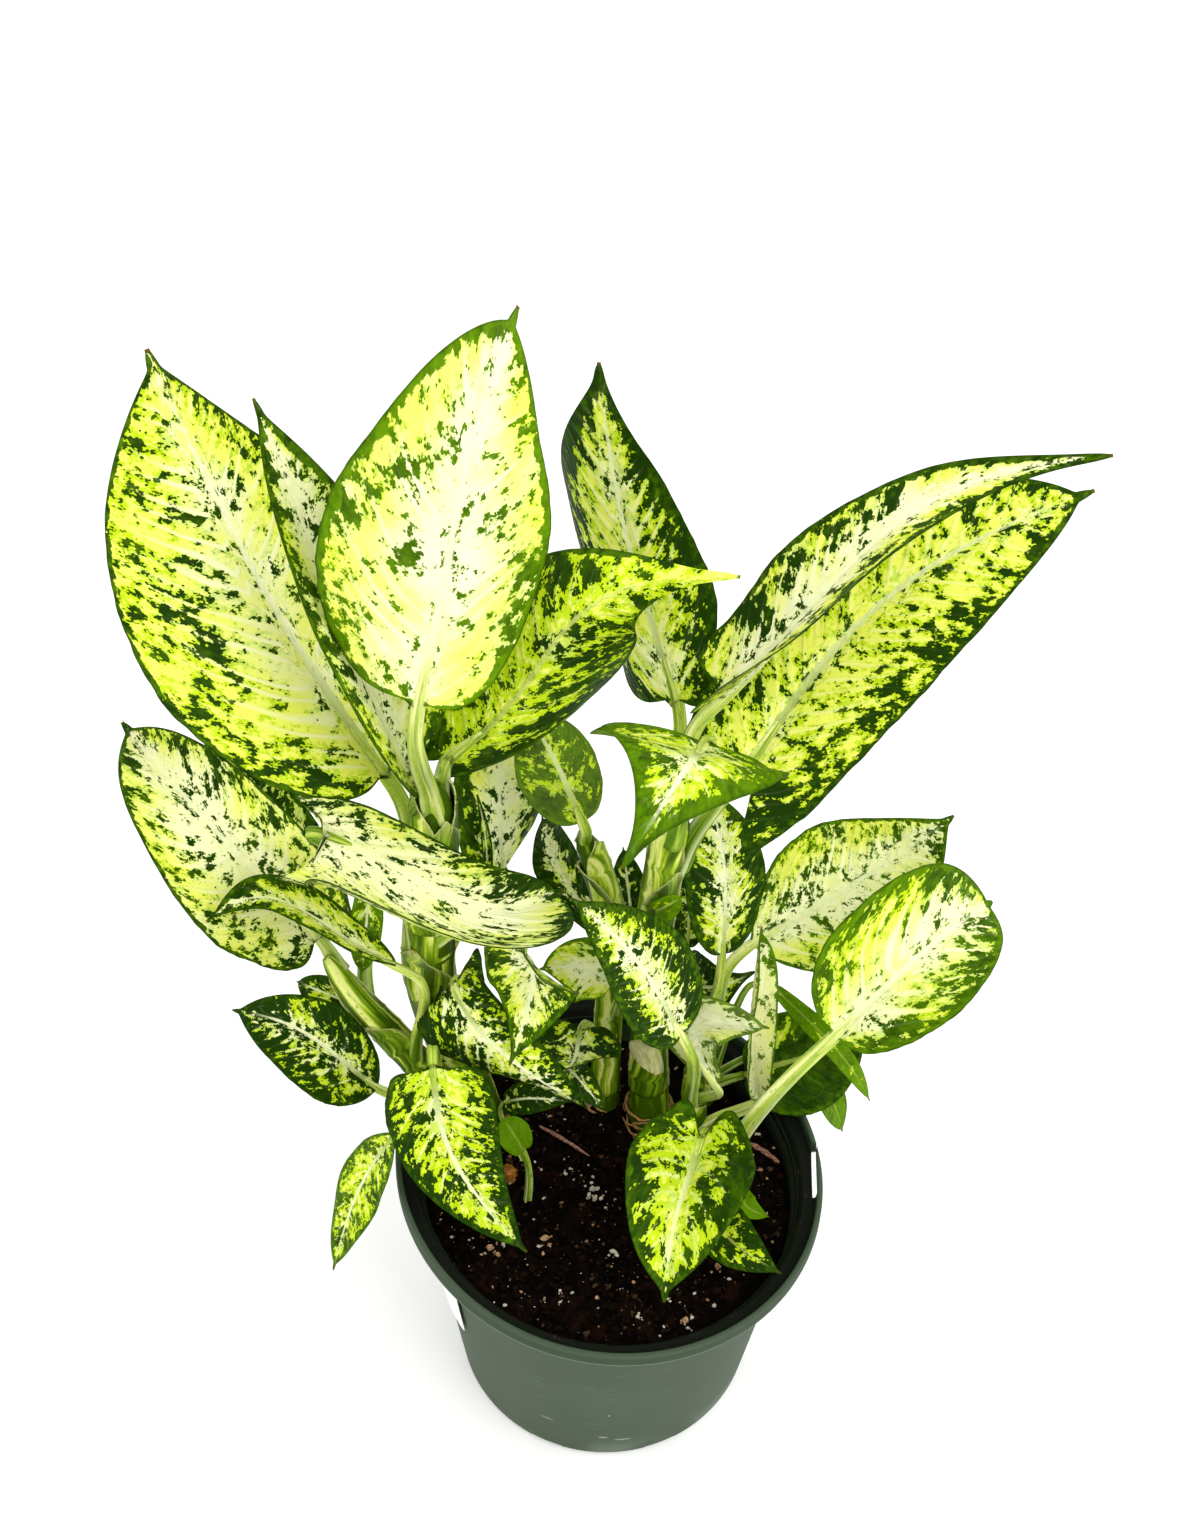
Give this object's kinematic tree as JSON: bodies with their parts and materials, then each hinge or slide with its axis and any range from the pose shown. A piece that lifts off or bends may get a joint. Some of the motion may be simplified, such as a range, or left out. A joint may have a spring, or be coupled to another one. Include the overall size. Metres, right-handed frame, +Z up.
{
  "type": "potted dieffenbachia",
  "caption": "Bushy houseplant with broad pointed cream and green marbled leaves on short green canes, in a round tapered nursery pot filled with soil.",
  "frame": {"origin": "centre of the pot's flat underside", "axes": "+Z up along the pot, -Y towards the front, the side the plant is mainly seen from, +X to its right"},
  "size_m": [0.3182, 0.1966, 0.4383],
  "materials": {
    "leaf": "satin leaf, cream to dark green in patches",
    "cane": "satin green cane",
    "pot": "satin dark green plastic",
    "soil": "rough damp potting mix with white grains",
    "label": "plain white, blank",
    "twig": "dry bark",
    "pebble": "rough bark chip"
  },
  "bodies": {
    "root": {"blank_label": "label", "cane_left": "cane", "cane_middle": "cane", "cane_right": "cane", "leaf_back_cream": "leaf", "leaf_back_dark": "leaf", "leaf_back_green": "leaf", "leaf_back_spear": "leaf", "leaf_front_blunt": "leaf", "leaf_front_heart": "leaf", "leaf_front_light": "leaf", "leaf_front_lower": "leaf", "leaf_left_behind": "leaf", "leaf_left_drooping": "leaf", "leaf_left_edgewise": "leaf", "leaf_left_fan": "leaf", "leaf_left_folded": "leaf", "leaf_left_hidden": "leaf", "leaf_left_hooked": "leaf", "leaf_left_low": "leaf", "leaf_left_olive": "leaf", "leaf_left_pale": "leaf", "leaf_left_sweeping": "leaf", "leaf_left_upright": "leaf", "leaf_low_dark": "leaf", "leaf_low_green": "leaf", "leaf_low_plain": "leaf", "leaf_middle_curled": "leaf", "leaf_middle_heart": "leaf", "leaf_middle_mottled": "leaf", "leaf_middle_pale": "leaf", "leaf_middle_round": "leaf", "leaf_right_blunt": "leaf", "leaf_right_curled": "leaf", "leaf_right_dim": "leaf", "leaf_right_facing": "leaf", "leaf_right_inner": "leaf", "leaf_right_leaning": "leaf", "leaf_right_long": "leaf", "leaf_right_round": "leaf", "leaf_right_shaded": "leaf", "leaf_right_underside": "leaf", "leaf_right_upright": "leaf", "leaf_right_wide": "leaf", "leaf_rim_arching": "leaf", "leaf_rim_broad": "leaf", "leaf_rim_hanging": "leaf", "leaf_rolled_new": "leaf", "pebble": "pebble", "pot": "pot", "shoot_back": "cane", "shoot_front": "cane", "shoot_left": "cane", "shoot_right": "cane", "soil": "soil", "twig_pale": "twig", "twig_red": "twig"}
  },
  "joints": []
}
